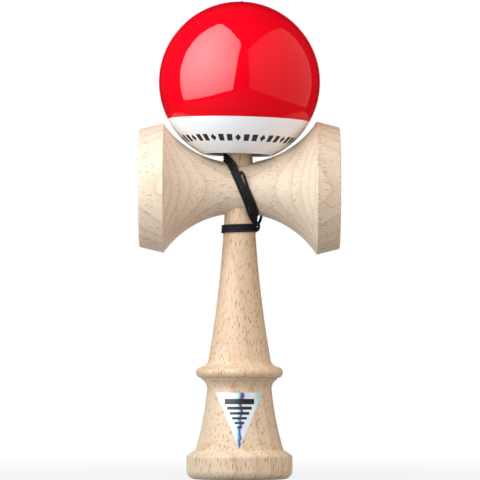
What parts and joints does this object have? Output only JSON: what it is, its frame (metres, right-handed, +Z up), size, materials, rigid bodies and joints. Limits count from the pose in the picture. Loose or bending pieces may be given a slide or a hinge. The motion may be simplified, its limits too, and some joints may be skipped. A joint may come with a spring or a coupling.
{
  "type": "kendama",
  "caption": "Turned wooden cup-and-ball toy: a spiked handle with a cupped base, a double-cup cross-piece and a drilled ball tied on by a wound cord.",
  "frame": {"origin": "middle of the base's rim, on the surface the handle stands on", "axes": "+Z up the handle to the spike, +X out of the big cup, -Y towards the viewer of the picture"},
  "size_m": [0.0742, 0.0613, 0.1776],
  "materials": {
    "handle_wood": "satin",
    "cross_wood": "satin",
    "ball_lacquer": "gloss lacquer, red above and white below",
    "bead_wood": "plain",
    "cord_black": "braided",
    "label_foil": "iridescent foil"
  },
  "bodies": {
    "handle": {"handle": "handle_wood", "label": "label_foil"},
    "cross_piece": {"cross_piece": "cross_wood", "stop_knot": "cord_black", "cord_winding": "cord_black"},
    "tether": {"cord_riser": "cord_black", "bead": "bead_wood", "bead_knot": "cord_black"},
    "ball": {"ball": "ball_lacquer"}
  },
  "joints": [
    {"name": "cross_pull", "type": "slide", "parent": "handle", "child": "cross_piece", "axis": [0, 0, 1], "range_m": [0, 0.066]},
    {"name": "ball_lift", "type": "slide", "parent": "cross_piece", "child": "tether", "axis": [0, 0, 1], "range_m": [0, 0.05], "deforming": ["cord_riser"]},
    {"name": "ball_spin", "type": "hinge", "parent": "tether", "child": "ball", "pos_m": [0, 0, 0.14693], "axis": [0.0227, 0, 0.9997], "continuous": true}
  ]
}
